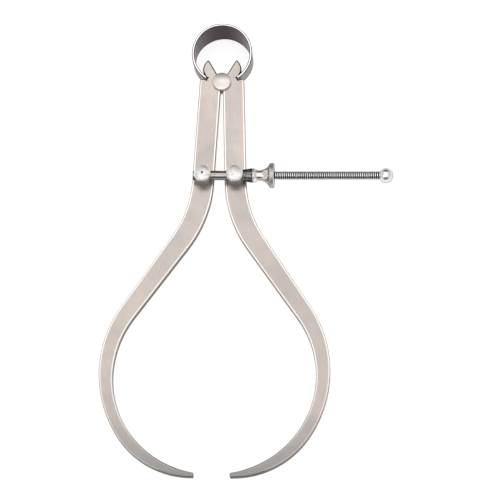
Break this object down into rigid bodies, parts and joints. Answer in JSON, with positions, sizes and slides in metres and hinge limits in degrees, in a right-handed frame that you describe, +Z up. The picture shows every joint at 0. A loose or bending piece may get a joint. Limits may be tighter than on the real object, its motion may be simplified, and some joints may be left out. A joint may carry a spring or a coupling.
{
  "type": "outside spring caliper",
  "caption": "Outside spring caliper: bowed steel legs pivot on a stud, pushed apart by a bow spring and set by a knurled nut on a screw.",
  "frame": {"origin": "under the middle of the tool's outline, at the lowest point of the bow spring's rear rim; the tool lies on its back", "axes": "+Z up, out of the front of the legs, along which the posts stand; +Y towards the bow spring, -Y towards the tips; +X along the adjusting screw towards its ball end"},
  "size_m": [0.1082, 0.1762, 0.0158],
  "materials": {
    "leg_steel": "satin",
    "stud_steel": "satin",
    "spring_steel": "satin",
    "post_steel": "satin",
    "screw_steel": "polished",
    "dark_steel": "blued",
    "polished_nickel": "polished"
  },
  "bodies": {
    "fulcrum": {"fulcrum_stud": "stud_steel", "bow_spring": "spring_steel"},
    "right_leg": {"right_leg": "leg_steel"},
    "left_leg": {"left_leg": "leg_steel"},
    "right_post": {"right_post": "post_steel", "right_post_washer": "post_steel", "thrust_collar": "dark_steel"},
    "left_post": {"left_post": "post_steel", "left_post_washer": "post_steel", "adjusting_screw": "screw_steel", "screw_pin": "dark_steel", "ball_end": "polished_nickel"},
    "nut": {"adjusting_nut": "polished_nickel"}
  },
  "joints": [
    {"name": "right_leg_swing", "type": "hinge", "parent": "fulcrum", "child": "right_leg", "pos_m": [-0.01149, 0.06578, 0.0065], "axis": [0, 0, 1], "range_deg": [-2.44, 27], "deforming": ["bow_spring"]},
    {"name": "left_leg_swing", "type": "hinge", "parent": "fulcrum", "child": "left_leg", "pos_m": [-0.01149, 0.06578, 0.0065], "axis": [0, 0, 1], "range_deg": [-27, 2.44], "deforming": ["bow_spring"]},
    {"name": "right_post_turn", "type": "hinge", "parent": "right_leg", "child": "right_post", "pos_m": [-0.00539, 0.02666, 0.0065], "axis": [0, 0, 1], "range_deg": [-27, 2.44]},
    {"name": "left_post_turn", "type": "hinge", "parent": "left_leg", "child": "left_post", "pos_m": [-0.01759, 0.02666, 0.0065], "axis": [0, 0, 1], "range_deg": [-2.44, 27]},
    {"name": "nut_spin", "type": "hinge", "parent": "right_post", "child": "nut", "pos_m": [0.00661, 0.02666, 0.011], "axis": [1, 0, 0], "range_deg": [-1417, 15620]}
  ],
  "couplings": [
    {"joint": "left_leg_swing", "follows": "right_leg_swing", "ratio": -1},
    {"joint": "right_post_turn", "follows": "right_leg_swing", "ratio": -1},
    {"joint": "left_post_turn", "follows": "right_leg_swing", "ratio": 1},
    {"joint": "nut_spin", "follows": "right_leg_swing", "ratio": 578.3}
  ]
}
